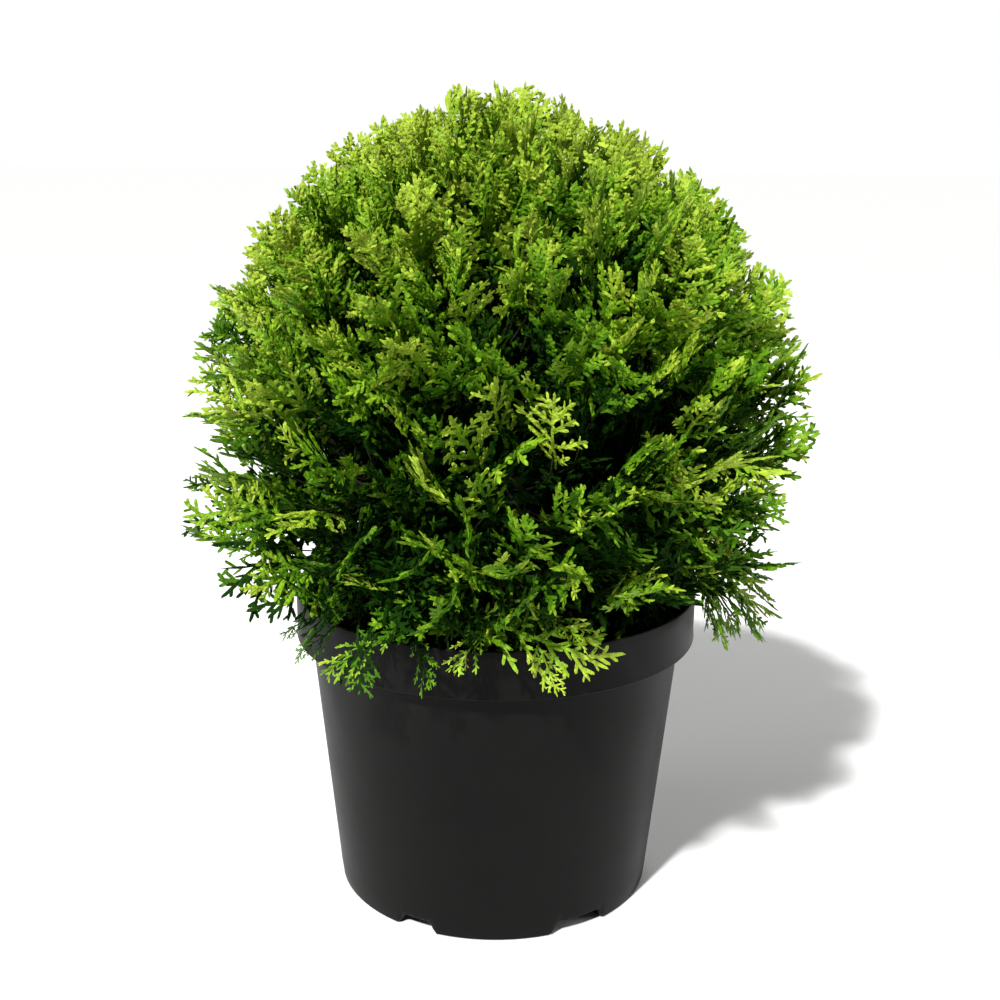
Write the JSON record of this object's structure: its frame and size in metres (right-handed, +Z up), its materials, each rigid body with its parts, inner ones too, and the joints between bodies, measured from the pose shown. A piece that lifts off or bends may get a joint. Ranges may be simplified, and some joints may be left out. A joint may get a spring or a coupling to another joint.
{
  "type": "potted globe arborvitae",
  "caption": "Dwarf conifer with a dense round crown of flat scale-leaved sprays, growing in a round black plastic nursery pot.",
  "frame": {"origin": "middle of the pot's underside, on the plane that it stands on", "axes": "+Z up along the trunk, -Y towards the viewer of the picture, +X to the right in it"},
  "size_m": [0.3343, 0.3412, 0.4451],
  "materials": {
    "black_plastic": "satin moulded plastic",
    "potting_mix": "moist peat and bark crumbs",
    "bark": "thin fibrous bark",
    "foliage": "waxy green scale leaves"
  },
  "bodies": {
    "root": {"bough_lower_1": "bark", "bough_lower_2": "bark", "bough_lower_3": "bark", "bough_lower_4": "bark", "bough_lower_5": "bark", "bough_lower_6": "bark", "bough_lower_7": "bark", "bough_middle_1": "bark", "bough_middle_2": "bark", "bough_middle_3": "bark", "bough_middle_4": "bark", "bough_middle_5": "bark", "bough_middle_6": "bark", "bough_middle_7": "bark", "bough_middle_8": "bark", "bough_upper_1": "bark", "bough_upper_2": "bark", "bough_upper_3": "bark", "bough_upper_4": "bark", "bough_upper_5": "bark", "foliage_lower_1": "foliage", "foliage_lower_2": "foliage", "foliage_lower_3": "foliage", "foliage_lower_4": "foliage", "foliage_lower_5": "foliage", "foliage_lower_6": "foliage", "foliage_lower_7": "foliage", "foliage_middle_1": "foliage", "foliage_middle_2": "foliage", "foliage_middle_3": "foliage", "foliage_middle_4": "foliage", "foliage_middle_5": "foliage", "foliage_middle_6": "foliage", "foliage_middle_7": "foliage", "foliage_middle_8": "foliage", "foliage_top": "foliage", "foliage_upper_1": "foliage", "foliage_upper_2": "foliage", "foliage_upper_3": "foliage", "foliage_upper_4": "foliage", "foliage_upper_5": "foliage", "pot": "black_plastic", "soil": "potting_mix", "trunk": "bark"}
  },
  "joints": []
}
